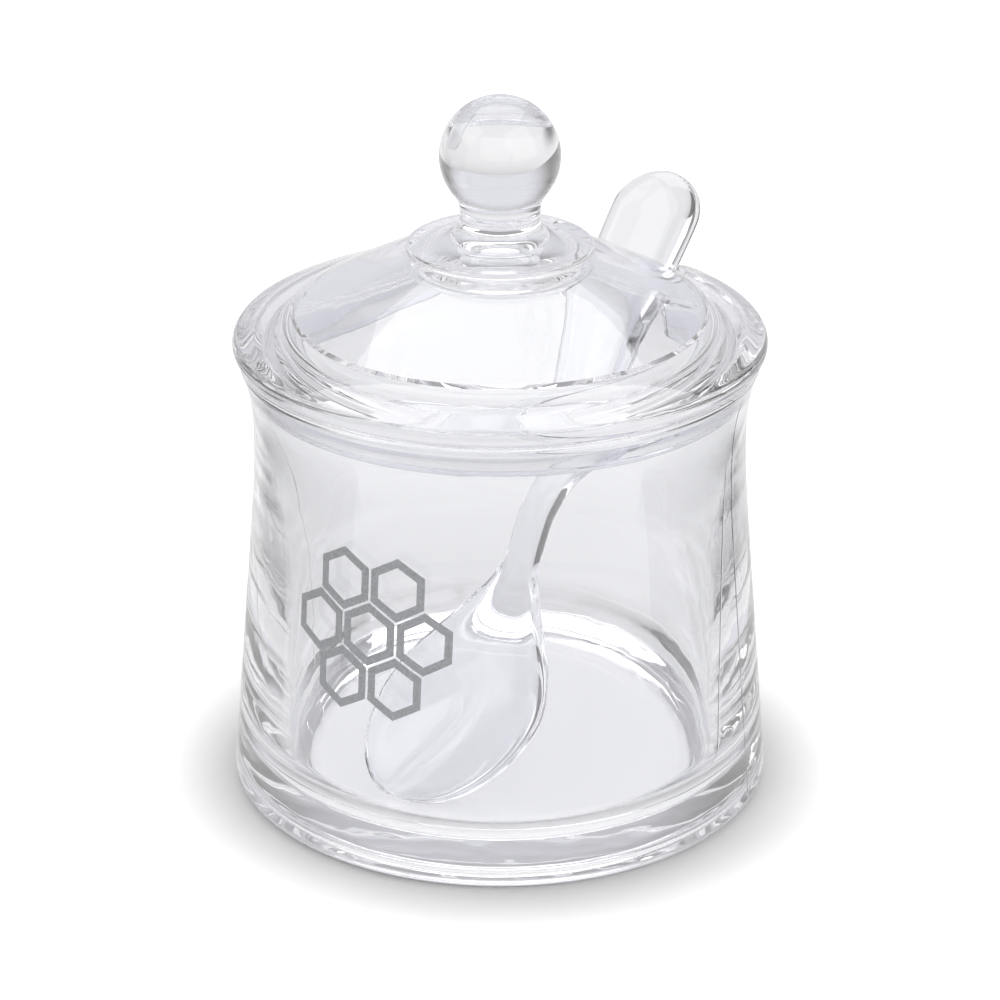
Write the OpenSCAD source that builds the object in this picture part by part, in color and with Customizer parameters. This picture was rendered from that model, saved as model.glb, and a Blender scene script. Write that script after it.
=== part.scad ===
// Honey dish of clear pressed glass: a waisted jar, a domed lid with a ball
// knob, and a glass spoon whose handle leans out through a notch in the lid.
// Millimetres. The origin is the middle of the jar's underside, +Z is up, and
// +Y runs from the jar's axis through the spoon notch.

/* [Jar] */
// Height of the jar, from the table to its lip
jar_h = 75; // [66:0.5:86]
// Outside diameter that the straight taper has at the table
base_d = 89.3; // [86:0.1:96]
// Outside diameter at the narrow waist
waist_d = 80; // [77:0.1:83]
// Height at which the taper runs out into the waist
waist_z = 55; // [46:0.5:58]
// Length over which the taper eases into the waist
waist_ease = 4; // [2:0.5:8]
// Outside diameter of the lip
lip_d = 84.2; // [83:0.1:90]
// Length of the flare that ends in the lip
flare_h = 15; // [12:0.5:18]
// Radius of the lip's two edges
lip_round = 1; // [0.6:0.1:1.2]
// Least width of the flat on top of the lip, where the lid sits
lip_land = 1; // [0.6:0.1:2]
// Radius of the heel, where the wall meets the table
heel_round = 2; // [1:0.1:3]
// Thickness of the wall at the waist
wall_waist = 1.9; // [1.8:0.1:2.6]
// How much the bore's radius grows from its foot to the waist
bore_opening = 0.9; // [0.4:0.1:2]
// Thickness of the solid glass bottom
floor_t = 3.4; // [3:0.1:6]
// Radius between the floor and the bore
floor_fillet = 6.5; // [4:0.1:8]
// Diameter of the shallow recess under the bottom
recess_d = 74; // [60:0.5:78]
// Depth of that recess
recess_h = 0.7; // [0.4:0.1:1.5]

/* [Lid] */
// How far the lid's rim stands past the jar's lip
lid_over = 1; // [0.6:0.1:2]
// Radius of the rim's rounded edge
rim_round = 1.7; // [1:0.1:2.2]
// Height of the rim's crown above its seat, at the ring
rim_h = 6.5; // [5.5:0.1:8]
// Diameter of the ring where the dome stands on the rim
ring_d = 66.4; // [62:0.1:66.6]
// Height of the dome's edge above the rim at the ring
ring_step = 0.6; // [0.3:0.1:1]
// Rise of the dome from the ring to the flat under the knob
dome_rise = 9.6; // [7.5:0.1:12]
// Bulge of the dome's side beyond a straight cone
dome_bulge = 0.35; // [0:0.05:0.8]
// Thickness of the lid's glass
lid_t = 4; // [3:0.1:4.6]
// Depth of the skirt that drops into the mouth
skirt_h = 5.7; // [4:0.1:8]
// Thickness of the skirt
skirt_t = 3.6; // [2.6:0.1:4]
// Gap all round between the skirt and the bore
skirt_gap = 0.5; // [0.3:0.05:0.8]
// Gap on each side between the notch and the spoon's handle
notch_side = 1; // [0.8:0.1:2]
// Least gap between the notch's inner end and the spoon's handle
notch_end = 1.1; // [0.8:0.1:1.3]
// Radius in the notch's inner corners
notch_round = 2; // [1:0.5:4]

/* [Knob] */
// Diameter of the ball
ball_d = 19.4; // [17:0.1:23]
// Height of the knob, from its foot to the top of the ball
knob_h = 25.6; // [25:0.1:32]
// Diameter of the neck under the ball
neck_d = 12.4; // [10:0.1:14]
// Radius between the neck and the ball
neck_fillet = 2.3; // [0.8:0.1:2.6]
// Diameter of the foot that is bonded to the lid
foot_d = 30.3; // [27:0.1:34]
// Thickness of the foot at its edge
foot_t = 1.4; // [1:0.1:2]
// Width of the flat round the foot's edge
foot_flat = 1.2; // [0.8:0.1:2]
// Height of the flare between the foot and the neck
foot_flare = 4.3; // [3:0.1:5]
// How far the foot's edge reaches past the lid's flat
foot_over = 0.5; // [0.2:0.1:0.6]
// Diameter of the shallow hollow under the foot
hollow_d = 11.2; // [8:0.1:14]
// Depth of that hollow
hollow_h = 1; // [0.5:0.1:1.5]

/* [Spoon] */
// Length of the spoon
spoon_l = 116; // [108:0.5:126]
// Width of the bowl
bowl_w = 30.2; // [26:0.1:33]
// Distance from the tip to the bowl's widest place
bowl_at = 17.7; // [15:0.1:20]
// Depth of the bowl
bowl_depth = 4; // [3:0.1:5]
// Thickness of the bowl's glass
bowl_t = 2.5; // [2.2:0.1:3.5]
// How far the spoon bows below the handle's line
bow = 9.1; // [7:0.1:10]
// Distance from the tip to the deepest place of that bow
bow_at = 32.2; // [30:0.1:36]
// Distance from the tip to where the handle runs straight
bow_from = 70; // [66:0.5:74]
// Distance from the tip to the narrow neck
neck_at = 46.5; // [43:0.5:50]
// Width of that neck
spoon_neck_w = 6.4; // [5:0.1:8]
// Thickness of that neck
spoon_neck_t = 4.6; // [4:0.1:5.5]
// Width of the paddle end of the handle
paddle_w = 17; // [14:0.1:18]
// Thickness of the paddle end
paddle_t = 4.2; // [3.4:0.1:5]
// Length of the round end of the paddle
paddle_round = 8; // [6:0.5:12]
// Angle of the spoon from upright
lean = 42.2; // [40:0.1:44]
// Gap between the spoon and the glass that it leans on
rest_gap = 0.6; // [0.4:0.05:1]

/* [Hidden] */

$fn = 96;
glass = [0.90, 0.91, 0.94, 0.5];
// Steps along a short rounded edge and along a long curve
edge_steps = 8;
curve_steps = 28;
// How sharply the flare curls out, and the angle at which it meets the lip
flare_power = 3;
lip_turn = 40;
// Angle at which the rim's rounded edge runs into its crown
rim_turn = 66;
// Bulge of the crown, and the width and depth of the groove at the ring
crown_bulge = 0.2;
ring_groove_w = 0.4;
ring_groove_h = 0.15;
// Size of the fillet between the lid's ceiling and its skirt
ceiling_fillet = 3.1;
// Radius of the skirt's lower edges
skirt_round = 1.2;
// How square the spoon's sections are at the bowl and the handle: 2 is an ellipse
bowl_fullness = 4;
handle_fullness = 2.2;
// Points round each section of the spoon
section_points = 24;
// How far a cut runs past the solid that it cuts
past = 5;

// Radii of the jar, and its wall at a height z
waist_r = waist_d / 2;
lip_r = lip_d / 2;
taper = (base_d - waist_d) / 2 / waist_z;
flare_end = [lip_r - lip_round * (1 - cos(lip_turn)), jar_h - lip_round * (1 + sin(lip_turn))];
flare_low = flare_end.y - flare_h;
// The widest mouth that leaves the lip its flat
mouth_limit = lip_r - 2 * lip_round - lip_land;

function eased(d) = (d + sqrt(d * d + waist_ease * waist_ease)) / 2;
function taper_r(z) = waist_r + taper * eased(waist_z - z);
function flare_share(z) = pow(max(0, (z - flare_low) / flare_h), flare_power);
function wall_r(z) = taper_r(z) + (flare_end.x - taper_r(flare_end.y)) * flare_share(z);
function bore_r(z) = min(mouth_limit, waist_r - wall_waist + bore_opening * (pow(z / waist_z, 2) - 1));

// Heights of the lid
rim_r = lip_r + lid_over;
ring_r = ring_d / 2;
ring_z = jar_h + rim_h;
dome_z = ring_z + ring_step;
land_z = dome_z + dome_rise;
land_r = foot_d / 2 - foot_over;
skirt_z = jar_h - skirt_h;
skirt_in = bore_r(skirt_z) - skirt_gap - skirt_t;
dome_slope = atan(dome_rise / (ring_r - land_r));
ceiling_r = skirt_in - ceiling_fillet;
ceiling_z = dome_height(ceiling_r) - lid_t / cos(dome_slope);

function bump(t) = 4 * t * (1 - t);
function dome_share(r) = (ring_r - r) / (ring_r - land_r);
function dome_height(r) = dome_z + dome_rise * dome_share(r) + dome_bulge * bump(dome_share(r));

// Points on an arc, and points on a line that bulges upwards
function arc(c, r, a, b, n = edge_steps) = [
    for (i = [0 : n]) let (t = a + (b - a) * i / n) c + r * [cos(t), sin(t)]
];
function bulged(p, q, h, n = curve_steps) = [
    for (i = [0 : n]) let (t = i / n) p + (q - p) * t + [0, h * bump(t)]
];

// The spoon's place, half width, thickness, bowl depth, bow and fullness at each section
bowl_half = bowl_w / 2;
neck_half = spoon_neck_w / 2;
paddle_half = paddle_w / 2;
paddle_at = spoon_l - paddle_round;
function ease(t) = (1 - cos(180 * t)) / 2;
function mix(a, b, t) = a + (b - a) * t;
function sag(u) = bow * pow(sin(90 * min(2, max(0, (bow_from - u) / (bow_from - bow_at)))), 2);
function dish(w) = bowl_depth * pow(max(0, (w - neck_half) / (bowl_half - neck_half)), 1.2);
function tip_section(a) = let (u = bowl_at * (1 - cos(a)), w = bowl_half * sin(a))
    [u, w, bowl_t * sqrt(sin(a)), dish(w), sag(u), bowl_fullness];
function shoulder_section(t) = let (u = mix(bowl_at, neck_at, t), w = mix(bowl_half, neck_half, ease(t)))
    [u, w, mix(bowl_t, spoon_neck_t, ease(t)), dish(w), sag(u),
        mix(bowl_fullness, handle_fullness, ease(t))];
function handle_section(t) = let (u = mix(neck_at, paddle_at, t))
    [u, mix(neck_half, paddle_half, ease(t)), mix(spoon_neck_t, paddle_t, t), 0, sag(u), handle_fullness];
function end_section(a) =
    [paddle_at + paddle_round * sin(a), paddle_half * cos(a), paddle_t * sqrt(cos(a)), 0, 0, handle_fullness];
sections = concat(
    [for (a = [9 : 9 : 90]) tip_section(a)],
    [for (t = [0.1 : 0.1 : 1]) shoulder_section(t)],
    [for (i = [1 : 12]) handle_section(i / 12)],
    [for (a = [9 : 9 : 81]) end_section(a)]
);

// One section's outline: a full ellipse, bent down in the middle by the bowl
function fuller(v, fullness) = sign(v) * pow(abs(v), 2 / fullness);
function section_point(s, a) = let (x = fuller(cos(a), s[5]))
    [s[1] * x, s[3] * (1 - x * x) + s[4] - s[2] / 2 * fuller(sin(a), s[5]), s[0]];
spoon_points = concat(
    [[0, sag(0), 0]],
    [for (s = sections, i = [0 : section_points - 1]) section_point(s, 360 * i / section_points)],
    [[0, 0, spoon_l]]
);
function ring_index(i, j) = 1 + i * section_points + j % section_points;
last_ring = len(sections) - 1;
spoon_faces = concat(
    [for (j = [0 : section_points - 1]) [0, ring_index(0, j + 1), ring_index(0, j)]],
    [for (i = [0 : last_ring - 1], j = [0 : section_points - 1])
        [ring_index(i, j), ring_index(i + 1, j + 1), ring_index(i + 1, j)]],
    [for (i = [0 : last_ring - 1], j = [0 : section_points - 1])
        [ring_index(i, j), ring_index(i, j + 1), ring_index(i + 1, j + 1)]],
    [for (j = [0 : section_points - 1])
        [len(spoon_points) - 1, ring_index(last_ring, j), ring_index(last_ring, j + 1)]]
);

// The spoon stands on the floor and leans on the lip's inner edge
spoon_low = min([for (p = spoon_points) p.z * cos(lean) - p.y * sin(lean)]);
spoon_z = floor_t + rest_gap - spoon_low;
lip_edge = [bore_r(jar_h - lip_round) + lip_round, jar_h - lip_round];
lip_reach = paddle_t / 2 + rest_gap + lip_round;
spoon_y = lip_edge.x - (lip_reach + (lip_edge.y - spoon_z) * sin(lean)) / cos(lean);
function spoon_axis_y(z) = spoon_y + (z - spoon_z) * tan(lean);

// The notch clears the handle where it passes under the lid's ceiling, and its
// rounded corners lie inside the skirt
notch_half = paddle_half + notch_side;
notch_in = min(
    spoon_axis_y(ceiling_z - ceiling_fillet / 2) - (paddle_t / 2 + notch_end) / cos(lean),
    sqrt(skirt_in * skirt_in - notch_half * notch_half) - notch_round
);

module jar() {
    fillet_z = floor_t + floor_fillet;
    wall = [for (i = [0 : curve_steps])
        let (z = mix(heel_round, flare_end.y, i / curve_steps)) [wall_r(z), z]];
    bore = [for (i = [1 : curve_steps - 1])
        let (z = mix(lip_edge.y, fillet_z, i / curve_steps)) [bore_r(z), z]];
    heel_c = [wall_r(heel_round) - heel_round, heel_round];
    fillet_c = [bore_r(fillet_z) - floor_fillet, fillet_z];
    color(glass) rotate_extrude() polygon(concat(
        [[0, recess_h], [recess_d / 2 - recess_h, recess_h], [recess_d / 2, 0]],
        arc(heel_c, heel_round, -90, 0),
        wall,
        arc([lip_r - lip_round, jar_h - lip_round], lip_round, -lip_turn, 90),
        arc(lip_edge, lip_round, 90, 180),
        bore,
        arc(fillet_c, floor_fillet, 0, -90, curve_steps / 2),
        [[0, floor_t]]
    ));
}

module lid_body() {
    edge = arc([rim_r - rim_round, jar_h + rim_round], rim_round, -90, rim_turn);
    crown = bulged(edge[edge_steps], [ring_r + ring_groove_w, ring_z], crown_bulge);
    dome = [for (i = [0 : curve_steps]) let (r = mix(ring_r, land_r, i / curve_steps)) [r, dome_height(r)]];
    ceiling = [for (a = [90 : -15 : 0])
        [ceiling_r + ceiling_fillet * cos(a), ceiling_z - ceiling_fillet * (1 - sin(a))]];
    skirt_out = bore_r(skirt_z) - skirt_gap;
    rotate_extrude() polygon(concat(
        [[0, land_z - lid_t], [land_r - lid_t * tan(dome_slope / 2), land_z - lid_t]],
        ceiling,
        arc([skirt_in + skirt_round, skirt_z + skirt_round], skirt_round, 180, 270),
        arc([skirt_out - skirt_round, skirt_z + skirt_round], skirt_round, -90, 0),
        [[bore_r(jar_h) - skirt_gap, jar_h]],
        edge,
        crown,
        [[ring_r + ring_groove_w / 2, ring_z - ring_groove_h]],
        dome,
        [[0, land_z]]
    ));
}

module notch_cut() {
    far = rim_r + past;
    translate([0, 0, skirt_z - past]) linear_extrude(land_z - skirt_z + past) polygon(concat(
        [[-notch_half, far]],
        arc([-notch_half + notch_round, notch_in + notch_round], notch_round, 180, 270),
        arc([notch_half - notch_round, notch_in + notch_round], notch_round, -90, 0),
        [[notch_half, far]]
    ));
}

module lid() {
    color(glass) difference() {
        lid_body();
        notch_cut();
    }
}

module lid_knob() {
    ball_r = ball_d / 2;
    neck_r = neck_d / 2;
    foot_edge = foot_t / 2;
    flare_r = foot_d / 2 - foot_edge - foot_flat;
    ball_c = [0, land_z + knob_h - ball_r];
    fillet_a = acos((neck_r + neck_fillet) / (ball_r + neck_fillet));
    fillet_c = ball_c + (ball_r + neck_fillet) * [cos(fillet_a), -sin(fillet_a)];
    hollow_r = (pow(hollow_d / 2, 2) + hollow_h * hollow_h) / (2 * hollow_h);
    hollow_a = asin(hollow_d / 2 / hollow_r);
    flare = [for (a = [0 : 9 : 90])
        [mix(flare_r, neck_r, sin(a)), land_z + foot_t + foot_flare * (1 - cos(a))]];
    color(glass) rotate_extrude() polygon(concat(
        arc([0, land_z + hollow_h - hollow_r], hollow_r, 90, 90 - hollow_a),
        arc([foot_d / 2 - foot_edge, land_z + foot_edge], foot_edge, -90, 90),
        flare,
        arc(fillet_c, neck_fillet, 180, 180 - fillet_a),
        arc(ball_c, ball_r, -fillet_a, 90, curve_steps)
    ));
}

module spoon() {
    color(glass) translate([0, spoon_y, spoon_z]) rotate([-lean, 0, 0])
        polyhedron(spoon_points, spoon_faces, convexity = 6);
}

jar();
lid();
lid_knob();
spoon();
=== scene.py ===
from math import acos, asin, atan, atan2, cos, degrees, hypot, pi, radians, sin, sqrt, tan

import bpy
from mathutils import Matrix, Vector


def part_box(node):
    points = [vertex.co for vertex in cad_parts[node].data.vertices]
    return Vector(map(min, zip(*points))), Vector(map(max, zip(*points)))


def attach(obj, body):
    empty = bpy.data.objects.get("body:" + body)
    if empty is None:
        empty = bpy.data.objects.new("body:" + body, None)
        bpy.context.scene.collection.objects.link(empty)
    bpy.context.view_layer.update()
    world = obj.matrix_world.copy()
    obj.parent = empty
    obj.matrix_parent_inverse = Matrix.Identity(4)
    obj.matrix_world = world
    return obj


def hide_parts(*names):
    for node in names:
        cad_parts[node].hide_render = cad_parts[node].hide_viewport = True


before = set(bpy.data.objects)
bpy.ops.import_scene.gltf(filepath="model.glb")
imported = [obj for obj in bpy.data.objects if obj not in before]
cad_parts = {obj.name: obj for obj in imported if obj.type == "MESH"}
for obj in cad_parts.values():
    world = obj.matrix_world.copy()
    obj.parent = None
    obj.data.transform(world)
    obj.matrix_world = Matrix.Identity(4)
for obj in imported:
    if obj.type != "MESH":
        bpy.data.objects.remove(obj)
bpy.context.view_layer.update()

# The jar is one thick body of clear pressed glass, fire polished after the mould opens.
# It stands on a rounded heel, tapers to a waist and flares into the lip that carries the lid.
# A two-part mould leaves a hair-fine vertical line on each side of the wall.
MM = 0.001
jar_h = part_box("jar")[1].z / MM
base_d = 89.3
waist_d = 80.0
waist_z = 55.0
waist_ease = 4.0
lip_r = 42.1
lip_round = 1.0
lip_turn = 40
flare_h = 15.0
flare_power = 3
heel_round = 2.0
wall_waist = 1.9
bore_opening = 0.9
floor_t = 3.4
floor_fillet = 9.0
recess_r = 37.0
recess_h = 0.7
recess_round = 1.2
recess_turn = 65
recess_edge = 0.6
mould_line_w = 0.22
mould_line_h = 0.05
mould_line_at = radians(12.8)
wall_skin = 0.01
wall_steps = 64
bore_steps = 32
flat_steps = 12
columns_round = 192
axis_touch = 1e-6
smooth_below = radians(35)
clear_tint = (0.972, 0.974, 0.99)
ripple_w = 9.0
ripple_h = 0.05

waist_r = waist_d / 2
taper = (base_d - waist_d) / 2 / waist_z
flare_end_r = lip_r - lip_round * (1 - cos(radians(lip_turn)))
flare_end_z = jar_h - lip_round * (1 + sin(radians(lip_turn)))


def mix(a, b, t):
    return a + (b - a) * t


def arc(centre, radius, start, end, steps=12):
    """The points of an arc from one angle to another, in degrees."""
    turns = [radians(mix(start, end, i / steps)) for i in range(steps + 1)]
    return [(centre[0] + radius * cos(a), centre[1] + radius * sin(a)) for a in turns]


def taper_r(z):
    gap = waist_z - z
    return waist_r + taper * (gap + hypot(gap, waist_ease)) / 2


def wall_r(z):
    """The wall's outer radius at a height: the taper up to the waist, then the flare."""
    share = max(0.0, (z - flare_end_z + flare_h) / flare_h) ** flare_power
    return taper_r(z) + (flare_end_r - taper_r(flare_end_z)) * share


def bore_r(z):
    """The wall's inner radius at a height: the bore opens a little towards the mouth."""
    return waist_r - wall_waist + bore_opening * ((z / waist_z) ** 2 - 1)


def make_object(name, points, faces, material):
    mesh = bpy.data.meshes.new(name)
    mesh.from_pydata([tuple(c * MM for c in p) for p in points], [], faces)
    mesh.shade_smooth()
    mesh.set_sharp_from_angle(angle=smooth_below)
    mesh.materials.append(material)
    piece = bpy.data.objects.new(name, mesh)
    bpy.context.scene.collection.objects.link(piece)
    return piece


def turned(name, outlines, material, columns, ridge=None):
    """A turned piece. Each outline runs from the axis round its solid and back to the axis."""
    points, faces = [], []
    count = len(columns)
    for outline in outlines:
        rings = []
        for r, z in outline:
            start = len(points)
            if r < axis_touch:
                points.append((0.0, 0.0, z))
                rings.append([start] * count)
            else:
                for a in columns:
                    far = r + (ridge(r, z, a) if ridge else 0.0)
                    points.append((far * cos(a), far * sin(a), z))
                rings.append(list(range(start, start + count)))
        for low, high in zip(rings, rings[1:]):
            for i in range(count):
                j = (i + 1) % count
                corners = [low[i], low[j], high[j], high[i]]
                faces.append(tuple(dict.fromkeys(corners)))
    return make_object(name, points, faces, material)


def fade(nodes, links, value, start, end, low=0.0, high=1.0, smooth=True):
    """Goes from low to high as the value goes from start to end, and stays level beyond them."""
    node = nodes.new("ShaderNodeMapRange")
    node.interpolation_type = "SMOOTHSTEP" if smooth else "LINEAR"
    for slot, number in (("From Min", start), ("From Max", end), ("To Min", low), ("To Max", high)):
        node.inputs[slot].default_value = number
    links.new(value, node.inputs["Value"])
    return node.outputs["Result"]


def pressed_glass(name, tint, wave_w, wave_h):
    """Clear glass with the faint ripple that pressing leaves and the least trace of handling."""
    smear_scale = 90.0
    smear_from, smear_to = 0.45, 0.75
    smear_roughness = 0.03
    material = bpy.data.materials.new(name)
    material.use_nodes = True
    nodes, links = material.node_tree.nodes, material.node_tree.links
    glass = nodes["Principled BSDF"]
    glass.inputs["Base Color"].default_value = (*tint, 1.0)
    glass.inputs["Transmission Weight"].default_value = 1.0
    glass.inputs["IOR"].default_value = 1.52
    place = nodes.new("ShaderNodeTexCoord")
    ripple = nodes.new("ShaderNodeTexNoise")
    ripple.inputs["Scale"].default_value = 1 / (wave_w * MM)
    ripple.inputs["Detail"].default_value = 1.5
    links.new(place.outputs["Object"], ripple.inputs["Vector"])
    bump = nodes.new("ShaderNodeBump")
    bump.inputs["Strength"].default_value = 1.0
    bump.inputs["Distance"].default_value = wave_h * MM
    links.new(ripple.outputs["Fac"], bump.inputs["Height"])
    links.new(bump.outputs["Normal"], glass.inputs["Normal"])
    smear = nodes.new("ShaderNodeTexNoise")
    smear.inputs["Scale"].default_value = smear_scale
    smear.inputs["Detail"].default_value = 3.0
    links.new(place.outputs["Object"], smear.inputs["Vector"])
    dull = fade(nodes, links, smear.outputs["Fac"], smear_from, smear_to, 0.0, smear_roughness, smooth=False)
    links.new(dull, glass.inputs["Roughness"])
    return material


def mould_line(r, z, a):
    """How far the mould's line stands proud of the wall, at a radius, a height and an angle."""
    on_face = r > wall_r(z) - wall_skin and heel_round < z < flare_end_z
    off = min(abs((a - mould_line_at - side + pi) % (2 * pi) - pi) for side in (0, pi))
    return mould_line_h * max(0.0, 1 - (off * r / mould_line_w) ** 2) if on_face else 0.0


even_columns = [2 * pi * i / columns_round for i in range(columns_round)]
line_step = mould_line_w / 2 / waist_r
line_columns = [
    (mould_line_at + side + step * line_step) % (2 * pi)
    for side in (0, pi)
    for step in range(-3, 4)
]
heel_c = (wall_r(heel_round) - heel_round, heel_round)
fillet_c = (bore_r(floor_t + floor_fillet) - floor_fillet, floor_t + floor_fillet)
lip_edge = (bore_r(jar_h - lip_round) + lip_round, jar_h - lip_round)
wall_heights = [mix(heel_round, flare_end_z, i / wall_steps) for i in range(1, wall_steps)]
bore_heights = [mix(lip_edge[1], fillet_c[1], i / bore_steps) for i in range(1, bore_steps)]
jar_outline = (
    [(recess_r * i / flat_steps, recess_h) for i in range(flat_steps)]
    + arc((recess_r - recess_round, recess_h - recess_round), recess_round, 90, 90 - recess_turn, 6)
    + [(recess_r + recess_edge, 0)]
    + arc(heel_c, heel_round, -90, 0)
    + [(wall_r(z), z) for z in wall_heights]
    + arc((lip_r - lip_round, jar_h - lip_round), lip_round, -lip_turn, 90)
    + arc(lip_edge, lip_round, 90, 180)
    + [(bore_r(z), z) for z in bore_heights]
    + arc(fillet_c, floor_fillet, 0, -90, 24)
    + [(fillet_c[0] * (1 - i / flat_steps), floor_t) for i in range(1, flat_steps + 1)]
)
jar_glass = pressed_glass("jar_glass", clear_tint, ripple_w, ripple_h)
jar = turned("jar_body", [jar_outline], jar_glass, sorted(even_columns + line_columns), mould_line)
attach(jar, "jar")
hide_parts("jar")

# The print on the jar is a thin coat of silver-grey enamel, screened on and fired.
# It is a plain honeycomb of open cells that follows the curve of the wall.
cell_r = 5.3
cell_line = 1.5
cell_pitch = 9.6
print_at = radians(-84.2)
print_z = 41.0
print_gap = 0.01
print_t = 0.06
side_steps = 6
silver_grey = (0.42, 0.43, 0.45)
speckle_dark = 0.8
speckle_light = 1.15


def enamel(name, colour):
    """Matt grey enamel with the fine speckle of the screen."""
    material = bpy.data.materials.new(name)
    material.use_nodes = True
    nodes, links = material.node_tree.nodes, material.node_tree.links
    coat = nodes["Principled BSDF"]
    coat.inputs["Roughness"].default_value = 0.55
    place = nodes.new("ShaderNodeTexCoord")
    speckle = nodes.new("ShaderNodeTexNoise")
    speckle.inputs["Scale"].default_value = 2600.0
    speckle.inputs["Detail"].default_value = 2.0
    links.new(place.outputs["Object"], speckle.inputs["Vector"])
    shade = nodes.new("ShaderNodeValToRGB")
    for stop, position, share in zip(shade.color_ramp.elements, (0.3, 0.7), (speckle_dark, speckle_light)):
        stop.position = position
        stop.color = (*[c * share for c in colour], 1.0)
    links.new(speckle.outputs["Fac"], shade.inputs["Fac"])
    links.new(shade.outputs["Color"], coat.inputs["Base Color"])
    return material


def on_wall(across, up, proud):
    """A point on the wall, by its distances across and up from the middle of the print."""
    z = print_z + up
    r = wall_r(z)
    a = print_at + across / r
    return ((r + proud) * cos(a), (r + proud) * sin(a), z)


def cell_point(centre, radius, k):
    """The k-th point round a six-sided cell, with a few points along each side."""
    a = radians(30 + 60 * (k // side_steps))
    b = radians(30 + 60 * (k // side_steps + 1))
    t = (k % side_steps) / side_steps
    return (centre[0] + radius * mix(cos(a), cos(b), t), centre[1] + radius * mix(sin(a), sin(b), t))


row_rise = cell_pitch * sqrt(3) / 2
cells = []
for row, places in ((1, (-0.5, 0.5)), (0, (-1, 0, 1)), (-1, (-0.5, 0.5))):
    cells += [(cell_pitch * place, row_rise * row) for place in places]
cell_in = cell_r - cell_line
line_section = ((cell_in, print_gap), (cell_r, print_gap), (cell_r, print_t), (cell_in, print_t))
points, faces = [], []
for centre in cells:
    start = len(points)
    turns = 6 * side_steps
    for k in range(turns):
        for radius, proud in line_section:
            points.append(on_wall(*cell_point(centre, radius, k), proud))
    for k in range(turns):
        this, after = start + 4 * k, start + 4 * ((k + 1) % turns)
        for c in range(4):
            d = (c + 1) % 4
            faces.append((this + c, after + c, after + d, this + d))
jar_print = make_object("jar_print", points, faces, enamel("silver_enamel", silver_grey))
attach(jar_print, "jar")

# The spoon is pressed from one piece of clear glass: a round bowl, a narrow neck and a flat
# paddle handle. It stands loose on the jar's floor and leans on the lip, through the lid's notch.
spoon_l = 116.0
bowl_half = 15.1
bowl_at = 17.7
bowl_depth = 4.0
bowl_t = 2.5
dish_power = 1.2
bow = 9.1
bow_at = 32.2
bow_from = 70.0
neck_at = 46.5
neck_half = 3.2
neck_t = 4.6
paddle_half = 8.5
paddle_t = 4.2
paddle_round = 8.0
paddle_at = spoon_l - paddle_round
lean = radians(42.2)
rest_gap = 0.6
bowl_fullness = 4.0
handle_fullness = 2.2
section_points = 64
stretch_steps = 32
spoon_tint = (0.945, 0.948, 0.97)
spoon_ripple_w = 12.0
spoon_ripple_h = 0.04


def ease(t):
    return (1 - cos(pi * t)) / 2


def sag(u):
    """How far the spoon bows down at a distance from its tip."""
    return bow * sin(pi / 2 * min(2.0, max(0.0, (bow_from - u) / (bow_from - bow_at)))) ** 2


def dish(w):
    """How deep the bowl is where it has this half width."""
    return bowl_depth * max(0.0, (w - neck_half) / (bowl_half - neck_half)) ** dish_power


def tip_section(t):
    a = t * pi / 2
    u, w = bowl_at * (1 - cos(a)), bowl_half * sin(a)
    return (u, w, bowl_t * sqrt(sin(a)), dish(w), sag(u), bowl_fullness)


def shoulder_section(t):
    share = ease(t)
    u, w = mix(bowl_at, neck_at, t), mix(bowl_half, neck_half, share)
    fullness = mix(bowl_fullness, handle_fullness, share)
    return (u, w, mix(bowl_t, neck_t, share), dish(w), sag(u), fullness)


def handle_section(t):
    u, w = mix(neck_at, paddle_at, t), mix(neck_half, paddle_half, ease(t))
    return (u, w, mix(neck_t, paddle_t, t), 0.0, sag(u), handle_fullness)


def end_section(t):
    a = t * pi / 2
    u, w = paddle_at + paddle_round * sin(a), paddle_half * cos(a)
    return (u, w, paddle_t * sqrt(cos(a)), 0.0, 0.0, handle_fullness)


def fuller(v, fullness):
    return (1 if v >= 0 else -1) * abs(v) ** (2 / fullness)


def section_point(section, turn):
    """A point round one section, which runs from an oval to a rounded oblong as it gets fuller."""
    u, w, t, depth, drop, fullness = section
    x = fuller(cos(turn), fullness)
    return (w * x, depth * (1 - x * x) + drop - t / 2 * fuller(sin(turn), fullness), u)


def leaned(x, y, z):
    """A point of the upright spoon, where it is once the spoon leans on the lip."""
    return (x, spoon_y + y * cos(lean) + z * sin(lean), spoon_z - y * sin(lean) + z * cos(lean))


shares = [i / stretch_steps for i in range(1, stretch_steps + 1)]
sections = [stretch(t) for stretch in (tip_section, shoulder_section, handle_section) for t in shares]
sections += [end_section(t) for t in shares[:-1]]
upright = [(0.0, sag(0), 0.0)]
for section in sections:
    upright += [section_point(section, 2 * pi * i / section_points) for i in range(section_points)]
upright += [(0.0, 0.0, spoon_l)]
last = len(upright) - 1
faces = []
for j in range(section_points):
    k = (j + 1) % section_points
    faces.append((0, 1 + j, 1 + k))
    for i in range(len(sections) - 1):
        low, high = 1 + i * section_points, 1 + (i + 1) * section_points
        faces.append((low + j, high + j, high + k, low + k))
    faces.append((last, last - section_points + k, last - section_points + j))
spoon_low = min(z * cos(lean) - y * sin(lean) for x, y, z in upright)
spoon_z = floor_t + rest_gap - spoon_low
lip_reach = paddle_t / 2 + rest_gap + lip_round
spoon_y = lip_edge[0] - (lip_reach + (lip_edge[1] - spoon_z) * sin(lean)) / cos(lean)
spoon_glass = pressed_glass("spoon_glass", spoon_tint, spoon_ripple_w, spoon_ripple_h)
spoon = make_object("spoon_body", [leaned(*p) for p in upright], faces, spoon_glass)
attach(spoon, "spoon")
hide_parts("spoon")

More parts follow.
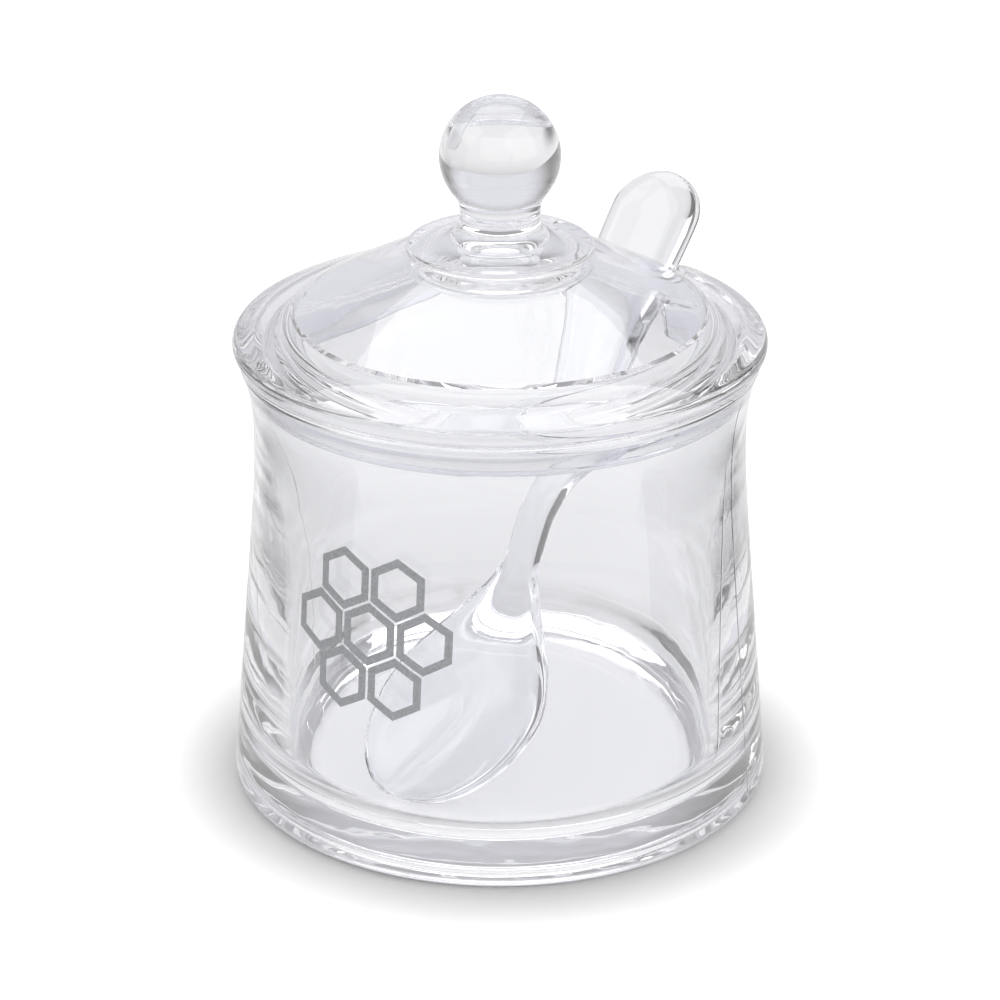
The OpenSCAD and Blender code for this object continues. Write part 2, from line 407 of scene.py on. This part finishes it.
# The lid and its ball knob: a pressed dome with a thick rounded rim and a skirt that drops into
# the jar's mouth, and a solid glass knob bonded to its flat top, with a little air under its foot.
# The rim is cut through at the back for the spoon's handle.
seat_gap = 0.2
rim_r = lip_r + 1.0
rim_round = 1.7
rim_turn = 66
rim_h = 6.5
crown_bulge = 0.2
ring_r = 33.2
ring_step = 0.6
ring_groove_w = 0.4
ring_groove_h = 0.15
dome_rise = 9.6
dome_bulge = 0.35
lid_t = 4.0
ceiling_fillet = 3.1
skirt_h = 5.7
skirt_t = 3.6
skirt_gap = 0.5
skirt_round = 1.2
knob_h = 25.6
ball_r = 9.7
neck_r = 6.5
neck_fillet = 4.0
foot_r = 15.15
foot_edge = 0.7
foot_flat = 1.2
foot_flare = 4.3
foot_over = 0.5
hollow_r = 5.6
hollow_h = 1.0
notch_side = 1.0
notch_end = 1.1
notch_round = 2.0
notch_spare = 5.0
dome_steps = 40
hollow_steps = 6

land_r = foot_r - foot_over
ring_z = jar_h + rim_h
dome_z = ring_z + ring_step
land_z = dome_z + dome_rise
seat_z = jar_h + seat_gap
skirt_z = jar_h - skirt_h
skirt_out = bore_r(skirt_z) - skirt_gap
skirt_in = skirt_out - skirt_t
dome_slope = atan(dome_rise / (ring_r - land_r))


def line(start, end, steps):
    """The points of a straight line after its start, up to its end."""
    shares = [i / steps for i in range(1, steps + 1)]
    return [(mix(start[0], end[0], t), mix(start[1], end[1], t)) for t in shares]


def swell(t):
    """A low arch over a stretch: 0 at its ends and 1 in its middle."""
    return 4 * t * (1 - t)


def dome_height(r):
    share = (ring_r - r) / (ring_r - land_r)
    return dome_z + dome_rise * share + dome_bulge * swell(share)


ceiling_r = skirt_in - ceiling_fillet
ceiling_z = dome_height(ceiling_r) - lid_t / cos(dome_slope)
ceiling_top = (land_r - lid_t * tan(dome_slope / 2), land_z - lid_t)
rim_edge = arc((rim_r - rim_round, seat_z + rim_round), rim_round, -90, rim_turn, 20)
crown = line(rim_edge[-1], (ring_r + ring_groove_w, ring_z), 24)
crown = [(r, z + crown_bulge * swell((i + 1) / len(crown))) for i, (r, z) in enumerate(crown)]
dome_radii = [mix(ring_r, land_r, i / dome_steps) for i in range(dome_steps + 1)]
foot_z = land_z + 2 * foot_edge
flare_start = foot_r - foot_edge - foot_flat
foot_curve = [
    (mix(flare_start, neck_r, sin(radians(a))), foot_z + foot_flare * (1 - cos(radians(a))))
    for a in range(0, 91, 5)
]
ball_z = land_z + knob_h - ball_r
neck_a = acos((neck_r + neck_fillet) / (ball_r + neck_fillet))
neck_c = ((ball_r + neck_fillet) * cos(neck_a), ball_z - (ball_r + neck_fillet) * sin(neck_a))
neck_turn = degrees(neck_a)
lid_outline = (
    [(0, ceiling_top[1])]
    + line((0, ceiling_top[1]), ceiling_top, 8)
    + line(ceiling_top, (ceiling_r, ceiling_z), 20)[:-1]
    + arc((ceiling_r, ceiling_z - ceiling_fillet), ceiling_fillet, 90, 0)
    + arc((skirt_in + skirt_round, skirt_z + skirt_round), skirt_round, 180, 270)
    + arc((skirt_out - skirt_round, skirt_z + skirt_round), skirt_round, -90, 0)
    + line((skirt_out, skirt_z + skirt_round), (bore_r(jar_h) - skirt_gap, seat_z), 6)
    + rim_edge
    + crown
    + [(ring_r + ring_groove_w / 2, ring_z - ring_groove_h)]
    + [(r, dome_height(r)) for r in dome_radii]
    + arc((foot_r - foot_edge, land_z + foot_edge), foot_edge, -90, 90)
    + foot_curve
    + arc(neck_c, neck_fillet, 180, 180 - neck_turn)
    + arc((0, ball_z), ball_r, -neck_turn, 90, 48)[:-1]
    + [(0, ball_z + ball_r)]
)
hollow_arc_r = (hollow_r ** 2 + hollow_h ** 2) / (2 * hollow_h)
hollow_turn = degrees(asin(hollow_r / hollow_arc_r))
hollow_outline = (
    [(0, land_z + hollow_h)]
    + arc((0, land_z + hollow_h - hollow_arc_r), hollow_arc_r, 90, 90 - hollow_turn)[1:]
    + [(hollow_r * i / hollow_steps, land_z) for i in range(hollow_steps - 1, -1, -1)]
)
lid_glass = pressed_glass("lid_glass", clear_tint, ripple_w, ripple_h)
lid = turned("lid_and_knob", [lid_outline, hollow_outline], lid_glass, even_columns)

handle_y = spoon_y + (ceiling_z - ceiling_fillet / 2 - spoon_z) * tan(lean)
notch_half = paddle_half + notch_side
notch_in = min(
    handle_y - (paddle_t / 2 + notch_end) / cos(lean),
    sqrt(skirt_in ** 2 - notch_half ** 2) - notch_round,
)
notch_far = rim_r + notch_spare
notch_outline = (
    [(-notch_half, notch_far)]
    + arc((-notch_half + notch_round, notch_in + notch_round), notch_round, 180, 270)
    + arc((notch_half - notch_round, notch_in + notch_round), notch_round, -90, 0)
    + [(notch_half, notch_far)]
)
count = len(notch_outline)
points = [(x, y, z) for z in (skirt_z - notch_spare, land_z) for x, y in notch_outline]
faces = [tuple(reversed(range(count))), tuple(range(count, 2 * count))]
faces += [(i, (i + 1) % count, count + (i + 1) % count, count + i) for i in range(count)]
cutter = make_object("notch_cutter", points, faces, lid_glass)
cut = lid.modifiers.new("notch", "BOOLEAN")
cut.operation = "DIFFERENCE"
cut.solver = "EXACT"
cut.object = cutter
bpy.context.view_layer.update()
cut_mesh = bpy.data.meshes.new_from_object(lid.evaluated_get(bpy.context.evaluated_depsgraph_get()))
lid.modifiers.clear()
lid.data = cut_mesh
bpy.data.objects.remove(cutter)
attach(lid, "lid")
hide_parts("lid", "lid_knob")

# The table is a sheet of white paper under the dish that keeps the dish's soft shadow.
# A glow of its own takes it to white a little way out, and lights what the glass shows of it,
# most of all under the dish, where that glow is painted light in the dish's shadow.
view_turn = radians(35.8)
right_way = (cos(view_turn), sin(view_turn))
away_way = (-sin(view_turn), cos(view_turn))
table_left, table_right = -0.35, 1.0
table_front, table_back = -0.25, 0.9
table_drop = 0.0002
shadow_start, shadow_end = 0.0445, 0.062
table_lift_near, table_lift_far = 0.0, 0.6
painted_pool_edge, painted_pool_full = 0.047, 0.032
lift_in_glass = 0.14
painted_pool_glow = 0.62


def placed(right, away, up):
    """A place in the studio: so far to the right of the dish, behind it and above the table."""
    x = right * right_way[0] + away * away_way[0]
    y = right * right_way[1] + away * away_way[1]
    return (x, y, up)


def worked_out(nodes, links, operation, first, second):
    """One sum of two nodes' outputs."""
    node = nodes.new("ShaderNodeMath")
    node.operation = operation
    links.new(first, node.inputs[0])
    links.new(second, node.inputs[1])
    return node.outputs["Value"]


def glass_rays(nodes, links):
    """1 for what shows in a reflection or through glass, and 0 for the rest."""
    rays = nodes.new("ShaderNodeLightPath").outputs
    return worked_out(nodes, links, "MAXIMUM", rays["Is Glossy Ray"], rays["Is Transmission Ray"])


def camera_rays(nodes):
    """1 for what the camera sees with no glass between, and 0 for the rest."""
    return nodes.new("ShaderNodeLightPath").outputs["Is Camera Ray"]


def stage_panel(name, corners, material):
    mesh = bpy.data.meshes.new(name)
    mesh.from_pydata([placed(*c) for c in corners], [], [(0, 1, 2, 3)])
    mesh.materials.append(material)
    panel = bpy.data.objects.new(name, mesh)
    bpy.context.scene.collection.objects.link(panel)
    return panel


paper = bpy.data.materials.new("white_paper")
paper.use_nodes = True
nodes, links = paper.node_tree.nodes, paper.node_tree.links
sheet = nodes["Principled BSDF"]
sheet.inputs["Base Color"].default_value = (0.9, 0.9, 0.9, 1.0)
sheet.inputs["Roughness"].default_value = 0.9
sheet.inputs["Specular IOR Level"].default_value = 0.0
sheet.inputs["Emission Color"].default_value = (1.0, 1.0, 1.0, 1.0)
from_dish = nodes.new("ShaderNodeVectorMath")
from_dish.operation = "LENGTH"
links.new(nodes.new("ShaderNodeTexCoord").outputs["Object"], from_dish.inputs[0])
reach = from_dish.outputs["Value"]
white_out = fade(nodes, links, reach, shadow_start, shadow_end, table_lift_near, table_lift_far, smooth=False)
# Painted light: seen through the glass, the paper glows brighter under the dish and lights up its shadow
# there.
painted_light_under_dish = fade(nodes, links, reach, painted_pool_edge, painted_pool_full, lift_in_glass, painted_pool_glow)
seen = worked_out(nodes, links, "MULTIPLY", camera_rays(nodes), white_out)
through = worked_out(nodes, links, "MULTIPLY", glass_rays(nodes, links), painted_light_under_dish)
links.new(worked_out(nodes, links, "ADD", seen, through), sheet.inputs["Emission Strength"])
table_corners = [
    (table_left, table_front, -table_drop),
    (table_right, table_front, -table_drop),
    (table_right, table_back, -table_drop),
    (table_left, table_back, -table_drop),
]
stage_panel("table", table_corners, paper)

# Two dark felt cards stand close beside the dish and show only in the glass, where they draw its
# edges. They fade softly at the top, the foot and the far end, and behind more than one wall.
card_out = 0.1
card_front, card_back = -0.06, 0.155
left_card_h, right_card_h = 0.068, 0.054
felt_dark = (0.1, 0.1, 0.105)
felt_light = (0.2, 0.2, 0.21)
top_fade = 0.45
foot_fade = 0.35
end_fade = 0.5
faces_of_one_wall, faces_of_two_walls = 2.0, 4.0
behind_two_walls = 0.35

felt = bpy.data.materials.new("grey_felt")
felt.use_nodes = True
nodes, links = felt.node_tree.nodes, felt.node_tree.links
nap = nodes["Principled BSDF"]
nap.inputs["Roughness"].default_value = 1.0
nap.inputs["Specular IOR Level"].default_value = 0.0
fibre = nodes.new("ShaderNodeTexNoise")
fibre.inputs["Scale"].default_value = 60.0
fibre_shade = nodes.new("ShaderNodeValToRGB")
fibre_shade.color_ramp.elements[0].color = (*felt_dark, 1.0)
fibre_shade.color_ramp.elements[1].color = (*felt_light, 1.0)
links.new(fibre.outputs["Fac"], fibre_shade.inputs["Fac"])
links.new(fibre_shade.outputs["Color"], nap.inputs["Base Color"])
on_card = nodes.new("ShaderNodeSeparateXYZ")
links.new(nodes.new("ShaderNodeTexCoord").outputs["Generated"], on_card.inputs["Vector"])
passed = nodes.new("ShaderNodeLightPath").outputs["Transmission Depth"]
solid = fade(nodes, links, passed, faces_of_two_walls, faces_of_one_wall, behind_two_walls, smooth=False)
for edge, start, end in (("Z", 1.0, top_fade), ("Y", 1.0, end_fade), ("Z", 0.0, foot_fade)):
    soft_edge = fade(nodes, links, on_card.outputs[edge], start, end)
    solid = worked_out(nodes, links, "MULTIPLY", solid, soft_edge)
links.new(solid, nap.inputs["Alpha"])
for name, out, card_h in (("left_card", -card_out, left_card_h), ("right_card", card_out, right_card_h)):
    card_corners = [
        (out, card_front, 0.0),
        (out, card_back, 0.0),
        (out, card_back, card_h),
        (out, card_front, card_h),
    ]
    card = stage_panel(name, card_corners, felt)
    card.visible_camera = False
    card.visible_diffuse = False
    card.visible_shadow = False

# The room round the table: white to the camera, and in the glass a pale backdrop behind the dish,
# a ceiling and a dim side where the camera stands. Its even fill is what reaches dull surfaces.
backdrop_glow = (0.74, 0.74, 0.79)
backdrop_way = (0.06, 0.98, 0.15)
backdrop_start, backdrop_end = 0.6, 0.93
ceiling_glow = (0.4, 0.4, 0.41)
ceiling_start, ceiling_end = 0.3, 0.7
room_glow = (0.2, 0.192, 0.185)
room_fill = (0.3, 0.3, 0.3)
white = (1.0, 1.0, 1.0)


def blended(nodes, links, share, first, second):
    """A mix of two colours by a share; each is a colour or a node's output."""
    node = nodes.new("ShaderNodeMix")
    node.data_type = "RGBA"
    links.new(share, node.inputs["Factor"])
    for slot, colour in zip(node.inputs[6:8], (first, second)):
        if isinstance(colour, tuple):
            slot.default_value = (*colour, 1.0)
        else:
            links.new(colour, slot)
    return node.outputs[2]


world = bpy.data.worlds.new("studio")
bpy.context.scene.world = world
world.use_nodes = True
nodes, links = world.node_tree.nodes, world.node_tree.links
way = nodes.new("ShaderNodeTexCoord").outputs["Generated"]
toward = nodes.new("ShaderNodeVectorMath")
toward.operation = "DOT_PRODUCT"
toward.inputs[1].default_value = placed(*backdrop_way)
links.new(way, toward.inputs[0])
rise = nodes.new("ShaderNodeSeparateXYZ")
links.new(way, rise.inputs["Vector"])
behind = fade(nodes, links, toward.outputs["Value"], backdrop_start, backdrop_end)
overhead = fade(nodes, links, rise.outputs["Z"], ceiling_start, ceiling_end)
walls = blended(nodes, links, behind, room_glow, backdrop_glow)
room = blended(nodes, links, overhead, walls, ceiling_glow)
lit_room = blended(nodes, links, glass_rays(nodes, links), room_fill, room)
seen_room = blended(nodes, links, camera_rays(nodes), lit_room, white)
links.new(seen_room, nodes["Background"].inputs["Color"])

# Four softboxes light the dish: one on each side, a wide one over it and a dim one in front.
# Each faces the dish, and its glow is how bright its face looks.
softbox_aim = 0.06
softboxes = (
    ("left_softbox", (-0.75, 0.0, 0.75), (0.8, 0.6), 1.15),
    ("right_softbox", (0.6, -0.5, 0.62), (0.9, 1.0), 1.2),
    ("top_softbox", (0.0, 0.36, 1.0), (1.1, 0.62), 1.7),
    ("front_softbox", (-0.2, -1.1, 0.75), (1.4, 1.0), 0.9),
)
for name, spot, (width, height), glow in softboxes:
    lamp = bpy.data.lights.new(name, "AREA")
    lamp.shape = "RECTANGLE"
    lamp.size, lamp.size_y = width, height
    lamp.energy = glow * pi * width * height
    holder = bpy.data.objects.new(name, lamp)
    bpy.context.scene.collection.objects.link(holder)
    x, y, z = placed(*spot)
    holder.location = (x, y, z)
    holder.rotation_euler = (atan2(hypot(x, y), z - softbox_aim), 0.0, atan2(-x, y) + pi)

# The camera stands close, a little above the dish and to its front right, with a long lens.
# Light may pass many faces of glass before it is given up.
camera_back = 0.579
camera_up = 0.3088
camera_tilt = radians(24.25)
camera_lens = 139.3
camera_sensor = 36.0
glass_bounces = 32
lens = bpy.data.cameras.new("camera")
lens.lens = camera_lens
lens.sensor_width = camera_sensor
camera = bpy.data.objects.new("camera", lens)
bpy.context.scene.collection.objects.link(camera)
camera.location = placed(0.0, -camera_back, camera_up)
camera.rotation_euler = (pi / 2 - camera_tilt, 0.0, view_turn)
scene = bpy.context.scene
scene.camera = camera
scene.view_settings.view_transform = "Standard"
scene.cycles.max_bounces = glass_bounces
scene.cycles.transmission_bounces = glass_bounces
scene.cycles.glossy_bounces = glass_bounces
